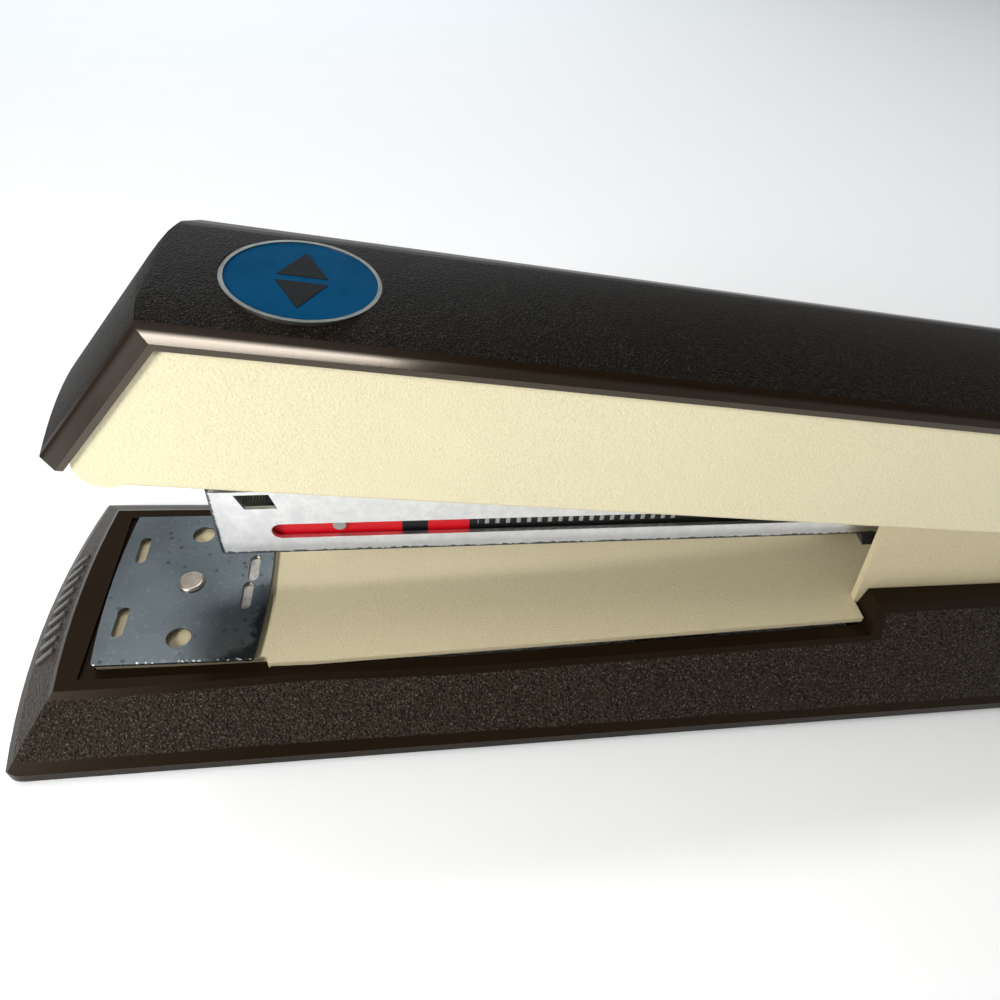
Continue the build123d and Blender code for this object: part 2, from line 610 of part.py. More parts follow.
def handle_frame():
    solid = local_prism(handle_outline(), -HANDLE_HALF, HANDLE_HALF) & tapered(HANDLE_HALF)
    top_edges = solid.edges().group_by(Axis.Y)[-1]
    solid = fillet(top_edges.filter_by(lambda edge: edge.length > 100), BEND_RADIUS)
    inner_q = FRONT_Q - HANDLE_SHEET
    inner_top = HANDLE_TOP - HANDLE_SHEET
    inner_half = HANDLE_HALF - HANDLE_SHEET
    low = front_point(inner_q, front_along(FRONT_LOW) - 20)
    high = front_point(inner_q, front_along(FRONT_HIGH))
    hollow = [(-40, -40), (low[0], -40), low, (high[0] + 0.4, inner_top), (-40, inner_top)]
    solid -= local_prism(hollow, -inner_half, inner_half) & tapered(inner_half)
    solid -= across(PIN_BORE, -20, 20)
    for u in CAP_SCREWS + HOLDER_SCREWS:
        solid -= local_upright(SCREW_BORE, HANDLE_TOP - 2.5, HANDLE_TOP + 2.5, u)
    return HANDLE * solid


def crowned(under, lip, crease, crown):
    """Section of the cap: straight edges, plain borders and a crowned middle."""
    half, inner = CAP_HALF, CAP_CREASE_HALF
    arc = ThreePointArc((-inner, crease), (0, crown), (inner, crease))
    rest = Polyline((inner, crease), (half, lip), (half, under),
                    (-half, under), (-half, lip), (-inner, crease))
    return make_face(Curve([*arc.edges(), *rest.edges()]))


def knee_outline(top, front_q, radius):
    """Side outline of the cap: straight top, rounded knee and raked front."""
    corner_along = (top + front_q * RAKE[0]) / RAKE[1]
    corner = Vector(*front_point(front_q, corner_along))
    to_rear = Vector(-1, 0)
    down = Vector(-RAKE[0], -RAKE[1])
    half_turn = radians((180 - to_rear.get_angle(down)) / 2)
    start = corner + to_rear * (radius * tan(half_turn))
    end = corner + down * (radius * tan(half_turn))
    bisector = (to_rear + down).normalized()
    middle = corner + bisector * (radius / cos(half_turn) - radius)
    bottom = Vector(*front_point(front_q, (CAP_FRONT_LOW + front_q * RAKE[0]) / RAKE[1]))
    rest = Polyline(end, bottom, (CAP_REAR, CAP_FRONT_LOW), (CAP_REAR, top), start)
    return Curve([*ThreePointArc(start, middle, end).edges(), *rest.edges()])


def cap_form():
    """Outer form of the cap, solid all through."""
    top_section = crowned(-FAR, HANDLE_TOP + CAP_LIP, HANDLE_TOP + CAP_CREASE, HANDLE_TOP + CAP_CROWN)
    along_top = Plane(origin=(CAP_REAR, 0, 0), x_dir=(0, 0, 1), z_dir=(-1, 0, 0))
    top = extrude(along_top * top_section, 220, dir=(1, 0, 0))
    front_section = crowned(-FAR, *(FRONT_Q + rise for rise in CAP_FRONT_RISE))
    along_front = Plane(origin=(0, 0, 0), x_dir=(0, 0, 1), z_dir=(RAKE[0], RAKE[1], 0))
    front = extrude(along_front * front_section, 120, both=True)
    profile = knee_outline(HANDLE_TOP + CAP_CROWN, FRONT_Q + CAP_FRONT_RISE[-1], CAP_KNEE)
    return (top & front) & tapered(CAP_HALF) & local_prism(profile, -20, 20)


def handle_cap():
    """Moulded cap over the top and the raked front of the handle."""
    under = HANDLE_TOP + CAP_GAP
    low = front_point(FRONT_Q + CAP_GAP, front_along(FRONT_LOW) - 20)
    steel = [(-40, -FAR), (low[0], -FAR), low, (FRONT_HIGH[0] + 0.05, under), (-40, under)]
    cap = cap_form() - local_prism(steel, -30, 30)
    cap -= badge_disc(BADGE_RADIUS + 0.05, BADGE_FLOOR, BADGE_FLOOR + 10)
    for u in CAP_SCREWS:
        cap -= local_upright(SCREW_BORE, HANDLE_TOP - 1.2, HANDLE_TOP + 1.2, u)
    return HANDLE * cap


def badge_disc(radius, low, high):
    return local_upright(radius, low, high, BADGE_U)


def badge_bezel():
    ring = badge_disc(BADGE_RADIUS, BADGE_FLOOR + 0.02, HANDLE_TOP + 2.7)
    return HANDLE * (ring - badge_disc(BADGE_RADIUS - BADGE_RIM, 0, 40))


def badge_face():
    return HANDLE * badge_disc(BADGE_RADIUS - BADGE_RIM - 0.02, BADGE_FLOOR + 0.02, HANDLE_TOP + 2.5)


def web_screws(places, head_low, reach):
    """Screws up through the handle's web, with heads under it."""
    head_top = head_low + 1.3
    screws = []
    for u in places:
        head = local_upright(2.6, head_low, head_top, u)
        shank = local_upright(SCREW_BORE - 0.05, head_top - 0.1, reach, u)
        screws.append(HANDLE * (head + shank))
    return screws


def cap_screws():
    return web_screws(CAP_SCREWS, HANDLE_TOP - HANDLE_SHEET - 1.35, HANDLE_TOP + 1.1)


def holder_screws():
    return web_screws(HOLDER_SCREWS, HOLDER_TOP - HOLDER_SHEET - 1.35, HANDLE_TOP - 0.05)


def driver_holder():
    """Bracket that hangs the driver blade from the handle's web."""
    back = BLADE_M - BLADE_THICK / 2 - 0.03
    rear, bend = 118, 158
    under = HOLDER_TOP - HOLDER_SHEET
    face_top = magazine_to_handle(back, BLADE_TOP)
    face_low = magazine_to_handle(back, 22.0)
    outline = [(rear, HOLDER_TOP), (bend, HOLDER_TOP), face_top, face_low,
               (face_low[0] - HOLDER_SHEET, face_low[1]), (face_top[0] - HOLDER_SHEET, face_top[1] - 0.6),
               (bend - 1, under), (rear, under)]
    holder = local_prism(outline, -HOLDER_HALF, HOLDER_HALF)
    for u in HOLDER_SCREWS:
        holder -= local_upright(SCREW_BORE, HOLDER_TOP - 2.5, HOLDER_TOP + 2.5, u)
    return HANDLE * holder


def driver_blade():
    """Thin blade that drives one staple out of the nose."""
    half = BLADE_THICK / 2
    return MAGAZINE * local_box(BLADE_M - half, BLADE_M + half, BLADE_TIP, BLADE_TOP, HOLDER_HALF)


def driver_rivets():
    """Two rivet heads on the blade's front face."""
    low = BLADE_M + BLADE_THICK / 2 + 0.02
    head = Pos(low + 0.3, 26.0, 0) * Rot(0, 90, 0) * Cylinder(1.1, 0.6)
    return [MAGAZINE * Pos(0, 0, y) * head for y in (3.0, -3.0)]


# ---- Write every piece --------------------------------------------------------------------------
PIECES = {
    "base_cover": base_cover,
    "base_frame": base_frame,
    "frame_screws": frame_screws,
    "rubber_foot_front": lambda: rubber_foot(*FRONT_FOOT),
    "rubber_foot_rear": lambda: rubber_foot(*REAR_FOOT),
    "pivot_pin": pivot_pin,
    "handle_washers": lambda: pin_sleeves(EAR_OUTER + 0.05, WASHER_OUTER, 5.2),
    "ear_spacers": lambda: pin_sleeves(MAG_HALF + 0.1, EAR_OUTER - EAR_SHEET - 0.05, 5.0),
    "lift_spring": lift_spring,
    "anvil_plate": anvil_plate,
    "anvil_post": anvil_post,
    "anvil_button": anvil_button,
    "anvil_spring": anvil_spring,
    "magazine_channel": magazine_channel,
    "staple_track": staple_track,
    "track_rivets": track_rivets,
    "supply_label": supply_label,
    "label_rivets": label_rivets,
    "rear_block": rear_block,
    "pusher_rod": pusher_rod,
    "pusher_spring": pusher_spring,
    "pusher": pusher,
    "staple_strip": staple_strip,
    "spring_bridge": spring_bridge,
    "handle_spring": handle_spring,
    "rest_stop": rest_stop,
    "handle_frame": handle_frame,
    "handle_cap": handle_cap,
    "cap_screws": cap_screws,
    "badge_bezel": badge_bezel,
    "badge_face": badge_face,
    "driver_holder": driver_holder,
    "driver_blade": driver_blade,
    "driver_rivets": driver_rivets,
    "holder_screws": holder_screws,
}

os.makedirs("parts", exist_ok=True)
for name, make in PIECES.items():
    shape = make()
    if isinstance(shape, list):
        shape = Compound(children=[solid for item in shape for solid in item.solids()])
    export_step(shape, f"parts/{name}.step")
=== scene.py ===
"""Looks of the desk stapler: materials, fine pieces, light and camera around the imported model.

Everything is in metres in the model's frame: -X towards the nose, +Z up, origin under the base.
"""
import json
from math import cos, pi, radians, sin

import bmesh
import bpy
from mathutils import Euler, Matrix, Vector
from mathutils.bvhtree import BVHTree


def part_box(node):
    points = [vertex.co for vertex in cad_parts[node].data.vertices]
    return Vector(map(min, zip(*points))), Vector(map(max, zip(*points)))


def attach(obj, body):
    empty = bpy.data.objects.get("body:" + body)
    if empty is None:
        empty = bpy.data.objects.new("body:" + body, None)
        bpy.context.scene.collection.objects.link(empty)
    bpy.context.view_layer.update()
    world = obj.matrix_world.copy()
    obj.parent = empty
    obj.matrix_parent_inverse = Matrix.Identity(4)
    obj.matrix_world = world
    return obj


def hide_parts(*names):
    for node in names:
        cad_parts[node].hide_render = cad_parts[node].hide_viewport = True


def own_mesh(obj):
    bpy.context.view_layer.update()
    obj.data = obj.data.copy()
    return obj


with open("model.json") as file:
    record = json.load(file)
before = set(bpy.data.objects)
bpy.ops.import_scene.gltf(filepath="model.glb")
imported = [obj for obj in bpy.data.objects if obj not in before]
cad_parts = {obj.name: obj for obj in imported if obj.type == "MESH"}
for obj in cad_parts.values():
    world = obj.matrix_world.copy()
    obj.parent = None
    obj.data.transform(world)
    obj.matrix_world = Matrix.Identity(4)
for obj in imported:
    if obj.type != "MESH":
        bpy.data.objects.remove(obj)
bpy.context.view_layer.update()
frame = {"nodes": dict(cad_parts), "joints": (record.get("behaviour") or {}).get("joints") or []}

# ---- Driving values, in millimetres unless said -------------------------------------------------
MM = 0.001
ORIGIN = (0, 0, 0)
JOINTS = {joint["name"]: joint for joint in frame["joints"]}
PIVOT = Vector(JOINTS["handle_pivot"]["pos_m"])
ANVIL = Vector(JOINTS["anvil_turn"]["pos_m"])
HANDLE_TILT = radians(7.2)        # handle's rise to the nose, about +Y
MAGAZINE_TILT = -radians(0.65)    # magazine's droop to the nose

CAMERA_PLACE = Vector((-35.87, -97.85, 133.65)) * MM
CAMERA_YAW = 0.149424             # radians to the right of +Y
CAMERA_PITCH = 0.781974           # radians below the horizon
CAMERA_ROLL = 0.087167            # radians
CAMERA_SENSOR = 36.0
CAMERA_LENS = 27.11
CAMERA_SHIFT = 0.0042             # share of the sensor
CAMERA_NEAR = 0.005               # nearest thing drawn, m

FLOOR_HALF = 3.0                  # m
NOSE = (-0.05, 0.0, 0.05)         # where most lights aim, m

CAP_GRAIN_HALF = 13.3             # half width of the cap's grained middle
CAP_POLISHED = 15.1               # half width at which the cap's border turns polished
RAIL_Z = 12.0                     # cover's rails at the front
RAIL_RISES = ((-88.0, 0.0207), (-30.0, 0.0242))   # where the rails steepen, and by how much
STEP_X = 51.3                     # where the cover steps up
STEP_TOP_Z = 22.0
LIP_TOP = 2.9                     # top of the lip round the cover's foot
SHORT_BORDER = 1.0                # plain border above the grain along the rails
TALL_BORDER = 1.5                 # the same behind the step, and above the lip

SEAT_FRONT_X = -64.0              # the tray is darkened ahead of this: soiled, and in painted shadow and shade
SEAT_Z = 12.7                     # the seat under the anvil plate lies below this
SEAT_EDGE_Y = 17.3                # the seat's sides lie beyond this

CHANNEL_LOW = -8.05               # worn lower edge of the channel, in the magazine's frame
CHANNEL_NOSE = -165.5             # worn nose of the channel
SHADE_HEIGHT = -6.4               # the channel's sides darken below this

GROOVE_DEPTHS = (12.8, 13.7)      # heights of the clinching grooves' floors, coloured as a painted highlight
GROOVE_REACH = (9.9, 12.6)        # and their place behind the anvil's axis
CHIPPED_EDGE = (-18.6, -17.9)     # the plate's near edge, chipped bright

RED_FIELDS = ((134.4, 200), (122.5, 129.8))       # red parts of the label, from the pivot
TICK_FIELD = (84, 121)            # ticked part of the label
TICK_PITCH = 1.9
TICK_HEIGHTS = (-3.9, -2.3)

STAPLE_PITCH = 0.51
STAPLE_RADIUS = 0.25              # half the wire's thickness
STAPLE_BEND = 0.6
EMBLEM_HALF_LENGTH = 7.6          # across the badge
EMBLEM_HALF_WIDTH = 4.0
EMBLEM_HALF_SLIT = 0.75
EMBLEM_THICK = 0.07
RIB_COUNT = 9
RIB_PITCH = 2.9
RIB_SIZE = (1.1, 0.9)             # width and thickness
RIB_HEIGHTS = (5.3, 9.3)          # lower and upper end
RIB_ROUNDING = 0.25


# ---- Shader helpers -----------------------------------------------------------------------------
class Shader:
    """A material with one Principled shader, and short calls to add the nodes in front of it."""

    def __init__(self, name, colour, roughness, metallic=0.0, **sockets):
        self.material = bpy.data.materials.new(name)
        self.material.use_nodes = True
        self.tree = self.material.node_tree
        self.main = self.tree.nodes["Principled BSDF"]
        self.main.inputs["Base Color"].default_value = (*colour, 1)
        self.main.inputs["Roughness"].default_value = roughness
        self.main.inputs["Metallic"].default_value = metallic
        for socket, value in sockets.items():
            self.main.inputs[socket.replace("_", " ")].default_value = value
        self.here = self.add("ShaderNodeTexCoord").outputs["Object"]
        self.normal = None

    def add(self, kind, **settings):
        node = self.tree.nodes.new(kind)
        for name, value in settings.items():
            setattr(node, name, value)
        return node

    def put(self, value, socket):
        """Links a socket to another, or sets a plain number on it."""
        if isinstance(value, bpy.types.NodeSocket):
            self.tree.links.new(value, socket)
        else:
            socket.default_value = value

    def math(self, operation, a, b=0.0, clamp=False):
        """One sum on two sockets or numbers."""
        node = self.add("ShaderNodeMath", operation=operation, use_clamp=clamp)
        self.put(a, node.inputs[0])
        self.put(b, node.inputs[1])
        return node.outputs[0]

    def times(self, *factors):
        product = factors[0]
        for factor in factors[1:]:
            product = self.math("MULTIPLY", product, factor)
        return product

    def inverse(self, value):
        """1 minus a value."""
        return self.math("SUBTRACT", 1.0, value)

    def local(self, origin, tilt=0.0):
        """Millimetres in a side frame turned about +Y: the first axis runs to the rear, the third up."""
        node = self.add("ShaderNodeMapping", vector_type="TEXTURE")
        self.put(self.here, node.inputs["Vector"])
        node.inputs["Location"].default_value = origin
        node.inputs["Rotation"].default_value = (0, tilt, 0)
        node.inputs["Scale"].default_value = (MM, MM, MM)
        split = self.add("ShaderNodeSeparateXYZ")
        self.put(node.outputs[0], split.inputs[0])
        return split.outputs

    def step(self, value, edge, soft):
        """0 below the edge, 1 above it, over a width of soft."""
        node = self.add("ShaderNodeMapRange", interpolation_type="SMOOTHSTEP")
        self.put(value, node.inputs["Value"])
        if isinstance(edge, bpy.types.NodeSocket):
            self.put(self.math("SUBTRACT", edge, soft / 2), node.inputs["From Min"])
            self.put(self.math("ADD", edge, soft / 2), node.inputs["From Max"])
        else:
            node.inputs["From Min"].default_value = edge - soft / 2
            node.inputs["From Max"].default_value = edge + soft / 2
        return node.outputs["Result"]

    def band(self, value, low, high, soft):
        """1 between low and high, 0 outside."""
        above = self.step(value, low, soft)
        below = self.inverse(self.step(value, high, soft))
        return self.times(above, below)

    def noise(self, scale, detail=3.0, roughness=0.5, stretch=(1, 1, 1), tilt=0.0):
        """Cloudy noise; scale is in waves to the metre, stretch in a frame turned about +Y."""
        vector = self.here
        if stretch != (1, 1, 1) or tilt:
            node = self.add("ShaderNodeMapping", vector_type="TEXTURE")
            self.put(vector, node.inputs["Vector"])
            node.inputs["Rotation"].default_value = (0, tilt, 0)
            node.inputs["Scale"].default_value = stretch
            vector = node.outputs[0]
        node = self.add("ShaderNodeTexNoise")
        self.put(vector, node.inputs["Vector"])
        node.inputs["Scale"].default_value = scale
        node.inputs["Detail"].default_value = detail
        node.inputs["Roughness"].default_value = roughness
        return node.outputs["Fac"]

    def cells(self, scale):
        """Distance to the nearest of the centres of rounded cells."""
        node = self.add("ShaderNodeTexVoronoi", feature="F1")
        self.put(self.here, node.inputs["Vector"])
        node.inputs["Scale"].default_value = scale
        return node.outputs["Distance"]

    def ragged(self, scale, detail, roughness, reach):
        """Noise about 0, to make an edge ragged."""
        centred = self.math("SUBTRACT", self.noise(scale, detail, roughness), 0.5)
        return self.times(centred, reach)

    def mix(self, factor, a, b):
        """Colour a where factor is 0, b where it is 1."""
        node = self.add("ShaderNodeMix", data_type="RGBA")
        self.put(factor, node.inputs[0])
        for value, socket in ((a, node.inputs[6]), (b, node.inputs[7])):
            self.put(value if isinstance(value, bpy.types.NodeSocket) else (*value, 1), socket)
        return node.outputs[2]

    def between(self, factor, low, high):
        """low where factor is 0, high where it is 1."""
        node = self.add("ShaderNodeMapRange")
        self.put(factor, node.inputs["Value"])
        self.put(low, node.inputs["To Min"])
        self.put(high, node.inputs["To Max"])
        return node.outputs["Result"]

    def bump(self, height, depth, strength=1.0):
        """Relief of a depth in metres where height runs from 0 to 1."""
        node = self.add("ShaderNodeBump")
        node.inputs["Distance"].default_value = depth
        self.put(strength, node.inputs["Strength"])
        self.put(height, node.inputs["Height"])
        if self.normal:
            self.put(self.normal, node.inputs["Normal"])
        self.normal = node.outputs["Normal"]
        self.put(self.normal, self.main.inputs["Normal"])

    def colour(self, value):
        self.put(value, self.main.inputs["Base Color"])

    def roughness(self, value):
        self.put(value, self.main.inputs["Roughness"])


# ---- Materials ----------------------------------------------------------------------------------
def moulded_brown(name, zones, grain, relief_share, gleam, sparkle, dark, light):
    """Dark brown moulding, leather-grained in places.

    zones(shader) gives two masks: 1 on the grain, 1 where the plain gloss is polished by hands.
    grain is the number of pebbles to the metre and relief_share their height, gleam the
    specular level outside the polished zone, sparkle the strength of the pale specks on the
    grain (dusty, and painted glints), dark and light the colours in its furrows and on its tops.
    """
    s = Shader(name, light, 0.3, Specular_Tint=(1.0, 0.86, 0.70, 1))
    grained, polished = zones(s)
    pebbles = s.cells(grain)
    creases = s.noise(0.85 * grain, 2.0, 0.6)
    relief = s.math("SUBTRACT", s.times(creases, 0.9), s.times(pebbles, 0.8))
    s.bump(relief, 0.00032, s.times(grained, relief_share))
    s.bump(s.noise(60, 2.0), 0.0002, 0.05)
    blotch = s.noise(25, 3.0, 0.6)
    # pale specks over the grain: partly dusty specks, partly painted glints
    dust_and_glints = s.step(s.noise(1.3 * grain, 2.0, 0.6), 0.63, 0.10)
    plain = s.mix(blotch, (0.0085, 0.0048, 0.0020), (0.013, 0.0072, 0.0032))
    leather = s.mix(s.step(relief, 0.05, 0.5), dark, light)
    leather = s.mix(s.times(dust_and_glints, sparkle), leather, (0.19, 0.165, 0.135))
    s.colour(s.mix(grained, plain, leather))
    gloss = s.between(polished, 0.30, s.between(blotch, 0.10, 0.17))
    s.roughness(s.between(grained, gloss, s.between(creases, 0.38, 0.52)))
    s.put(s.between(polished, gleam, 0.85), s.main.inputs["Specular IOR Level"])
    return s.material


def cap_zones(s):
    """Grain in the middle, and a border polished towards its outer edge."""
    across = s.math("ABSOLUTE", s.local(PIVOT, HANDLE_TILT)[1])
    grained = s.inverse(s.step(across, CAP_GRAIN_HALF, 0.3))
    return grained, s.step(across, CAP_POLISHED, 1.0)


def cover_zones(s):
    """Grain on the flanks and the front bevel, short of the lip and of a plain border above."""
    x, _, z = s.local(ORIGIN)
    rail = RAIL_Z - SHORT_BORDER
    for start, slope in RAIL_RISES:
        past = s.math("MAXIMUM", s.math("SUBTRACT", x, start), 0.0)
        rail = s.math("ADD", rail, s.times(past, slope))
    top = s.between(s.step(x, STEP_X + 2.4, 0.3), rail, STEP_TOP_Z - TALL_BORDER)
    above = s.step(z, LIP_TOP + TALL_BORDER, 0.3)
    below = s.inverse(s.step(z, top, 0.3))
    return s.times(above, below), 0.0


def cream_paint(name, pale, dull, dirt_and_shade=None):
    """Stove-enamelled sheet with fine orange peel, and colours from pale to dull in slow clouds.

    dirt_and_shade(shader), where given, is a mask of the places blackened, partly soiled and partly in
    painted shadow.
    """
    s = Shader(name, pale, 0.42, Specular_IOR_Level=0.3)
    peel = s.noise(2600, 2.0, 0.6)
    s.bump(peel, 0.00018, 0.6)
    tone = s.mix(s.noise(18, 5.0, 0.65), pale, dull)
    speckle = s.step(s.noise(4400, 3.0, 0.7), 0.56, 0.16)
    tone = s.mix(s.times(speckle, 0.28), tone, tuple(0.58 * c for c in dull))
    motes = s.step(s.noise(3000, 2.0, 0.7), 0.71, 0.04)
    drifts = s.step(s.noise(45, 2.0), 0.50, 0.12)
    tone = s.mix(s.times(motes, drifts, 0.5), tone, (0.18, 0.13, 0.08))
    if dirt_and_shade:
        # near black in the masked places: painted shadow and shade, and soiling
        tone = s.mix(dirt_and_shade(s), tone, (0.03, 0.026, 0.022))
    s.colour(tone)
    s.roughness(s.between(peel, 0.36, 0.56))
    return s.material


def tray_dirt_and_shade(s):
    """Painted shadow and soiling in the gap round the edge of the anvil plate's seat, and a trace of
    painted shade on the seat under the plate.
    """
    x, y, z = s.local(ORIGIN)
    edge = s.step(s.math("ABSOLUTE", y), SEAT_EDGE_Y, 0.5)
    near_plate = s.inverse(s.step(x, SEAT_FRONT_X, 0.8))
    seat = s.inverse(s.step(z, SEAT_Z, 0.2))
    # the dark gap at the seat's edge is painted shadow and soiling; the faint trace on the sunken seat is
    # painted shade
    seat_dirt_and_shade = s.math("MAXIMUM", s.times(edge, 0.93), s.times(seat, 0.1))
    return s.times(seat_dirt_and_shade, near_plate)


def zinc(name, wear_and_shade=None):
    """Bright zinc plate, mottled and finely drawn along its length.

    wear_and_shade(shader, plate, lines), where given, lays worn places and painted shade over the plate's
    colour.
    """
    s = Shader(name, (0.78, 0.79, 0.80), 0.3, 1.0)
    mottle = s.noise(420, 5.0, 0.7)
    cloud = s.noise(70, 3.0, 0.6)
    lines = s.noise(1.0, 3.0, 0.6, stretch=(0.03, 0.0012, 0.0008), tilt=MAGAZINE_TILT)
    s.bump(lines, 0.00004, 0.3)
    s.bump(mottle, 0.00008, 0.25)
    plate = s.mix(s.step(mottle, 0.5, 0.4), (0.78, 0.79, 0.79), (0.93, 0.93, 0.92))
    plate = s.mix(s.times(s.step(cloud, 0.62, 0.3), 0.25), plate, (0.60, 0.62, 0.64))
    s.colour(wear_and_shade(s, plate, lines) if wear_and_shade else plate)
    s.roughness(s.between(lines, 0.26, 0.46))
    return s.material


def channel_wear_and_shade(s, plate, lines):
    """Painted shade in grey along the bottom of the channel's sides, worn near black on its lower edge and
    nose.
    """
    back, _, up = s.local(PIVOT, MAGAZINE_TILT)
    ragged = s.ragged(900, 4.0, 0.7, 1.6)
    low = s.inverse(s.step(s.math("ADD", up, ragged), CHANNEL_LOW, 0.25))
    nose = s.inverse(s.step(s.math("ADD", back, ragged), CHANNEL_NOSE, 0.3))
    # painted shade: the channel's sides grow greyer towards the bottom
    shade = s.inverse(s.step(up, SHADE_HEIGHT, 2.0))
    plate = s.mix(s.times(shade, s.between(lines, 0.15, 0.65)), plate, (0.38, 0.39, 0.40))
    return s.mix(s.times(s.math("MAXIMUM", low, nose), 0.9), plate, (0.035, 0.04, 0.045))


def anvil_steel():
    """Blue-grey plated steel, clouded, tarnished, darker by the near rear corner, with a painted highlight
    in the grooves, and bright chips.
    """
    s = Shader("anvil_steel", (0.3, 0.33, 0.35), 0.35, 1.0)
    cloud = s.noise(60, 5.0, 0.6)
    fine = s.noise(900, 4.0, 0.7)
    s.bump(s.noise(700, 3.0), 0.00006, 0.2)
    plate = s.mix(cloud, (0.10, 0.122, 0.134), (0.18, 0.207, 0.218))
    plate = s.mix(s.times(s.step(fine, 0.62, 0.1), 0.35), plate, (0.28, 0.31, 0.325))
    plate = s.mix(anvil_tarnish_and_dark_patch(s), plate, (0.03, 0.035, 0.038))
    x, y, _ = s.local(ANVIL)
    chips = s.times(s.band(y, *CHIPPED_EDGE, 0.2), s.step(s.noise(1300, 2.0), 0.60, 0.06))
    plate = s.mix(chips, plate, (0.85, 0.86, 0.87))
    height = s.local(ORIGIN)[2]
    # painted highlight: the grooves' floors are coloured bright, with dark specks
    groove_highlight = s.times(s.band(height, *GROOVE_DEPTHS, 0.1), s.band(x, *GROOVE_REACH, 0.1))
    s.colour(s.mix(groove_highlight, plate, s.mix(fine, (0.10, 0.095, 0.085), (0.70, 0.67, 0.62))))
    s.roughness(s.between(cloud, 0.24, 0.40))
    return s.material


def anvil_tarnish_and_dark_patch(s):
    """Mask of small round tarnish spots, and of a ragged dark patch by the near rear corner and along the
    near rear edge.
    """
    x, y, _ = s.local(ANVIL)
    spots = s.inverse(s.step(s.cells(480), 0.20, 0.16))
    spots = s.times(spots, s.step(s.noise(110, 2.0), 0.50, 0.1))
    ragged = s.ragged(260, 4.0, 0.65, 5.0)
    towards_corner = s.math("SUBTRACT", s.times(x, 0.55), y)
    corner = s.step(s.math("ADD", towards_corner, ragged), 22.3, 2.5)
    rear = s.times(s.step(s.math("ADD", x, ragged), 13.6, 1.0), s.band(y, -19, -6, 3.0))
    dark_patch = s.math("MAXIMUM", corner, rear)
    return s.math("MAXIMUM", s.times(spots, 0.55), s.times(dark_patch, 0.9))


def steel(name, dark, bright, rough):
    """Plain steel, faintly streaked."""
    s = Shader(name, bright, rough, 1.0)
    streak = s.noise(300, 4.0, 0.6)
    s.bump(streak, 0.00005, 0.2)
    s.colour(s.mix(streak, dark, bright))
    s.roughness(s.between(streak, rough * 0.8, rough * 1.25))
    return s.material


def moulded(name, dark, light, rough, scale=800, gleam=0.35):
    """Plain moulding with a fine texture, scale grains to the metre."""
    s = Shader(name, light, rough, Specular_IOR_Level=gleam)
    grain = s.noise(scale, 3.0, 0.6)
    s.bump(grain, 0.0001, 0.25)
    s.colour(s.mix(grain, dark, light))
    s.roughness(s.between(grain, rough * 0.85, min(1.0, rough * 1.15)))
    return s.material


def supply_print():
    """Red at the nose with one black field, then black with a row of ticks."""
    s = Shader("label_print", (0.6, 0.01, 0.015), 0.35, Specular_IOR_Level=0.25)
    back, _, up = s.local(PIVOT, MAGAZINE_TILT)
    ahead = s.times(back, -1.0)
    fields = [s.band(ahead, start, end, 0.2) for start, end in RED_FIELDS]
    red = s.math("ADD", *fields, clamp=True)
    ticks = s.step(s.math("FRACT", s.math("DIVIDE", ahead, TICK_PITCH)), 0.62, 0.12)
    short = s.band(up, *TICK_HEIGHTS, 0.1)
    tick = s.times(ticks, short, s.band(ahead, *TICK_FIELD, 0.2))
    scuff = s.noise(400, 4.0, 0.7)
    black = s.mix(tick, (0.006, 0.006, 0.006), (0.30, 0.30, 0.28))
    s.colour(s.mix(red, black, s.mix(scuff, (0.62, 0.004, 0.012), (0.48, 0.003, 0.009))))
    s.roughness(s.between(scuff, 0.25, 0.45))
    return s.material


def enamel_blue():
    """Deep blue enamel, slightly clouded."""
    s = Shader("badge_blue", (0.002, 0.05, 0.13), 0.3, Specular_IOR_Level=0.01)
    cloud = s.noise(120, 4.0, 0.6)
    s.bump(s.noise(500, 2.0), 0.00005, 0.1)
    s.colour(s.mix(cloud, (0.0008, 0.040, 0.105), (0.002, 0.062, 0.145)))
    s.roughness(s.between(cloud, 0.22, 0.34))
    return s.material


def pale_floor():
    """White paper with a trace of cloud."""
    s = Shader("pale_floor", (0.9, 0.9, 0.9), 0.8, Specular_IOR_Level=0.1)
    paper = s.noise(40, 3.0)
    s.colour(s.mix(paper, (0.90, 0.90, 0.90), (0.92, 0.92, 0.915)))
    return s.material


# ---- Pieces -------------------------------------------------------------------------------------
def mesh_object(name, bm, material, smooth=True):
    """Scene object from a bmesh, which it frees."""
    mesh = bpy.data.meshes.new(name)
    bmesh.ops.recalc_face_normals(bm, faces=bm.faces)
    bm.to_mesh(mesh)
    bm.free()
    for polygon in mesh.polygons:
        polygon.use_smooth = smooth
    mesh.materials.append(material)
    obj = bpy.data.objects.new(name, mesh)
    bpy.context.scene.collection.objects.link(obj)
    return obj


def sweep(bm, path, radius, sides=8):
    """Round tube along a list of points, closed at both ends."""
    rings = []
    side = None
    for i, point in enumerate(path):
        ahead = path[min(i + 1, len(path) - 1)] - path[max(i - 1, 0)]
        ahead.normalize()
        if side is None:
            side = ahead.orthogonal().normalized()
        side = (side - ahead * side.dot(ahead)).normalized()
        other = ahead.cross(side)
        angles = [2 * pi * k / sides for k in range(sides)]
        rings.append([bm.verts.new(point + (side * cos(a) + other * sin(a)) * radius) for a in angles])
    for a, b in zip(rings, rings[1:]):
        for k in range(sides):
            bm.faces.new((a[k], a[(k + 1) % sides], b[(k + 1) % sides], b[k]))
    bm.faces.new(rings[0])
    bm.faces.new(rings[-1])


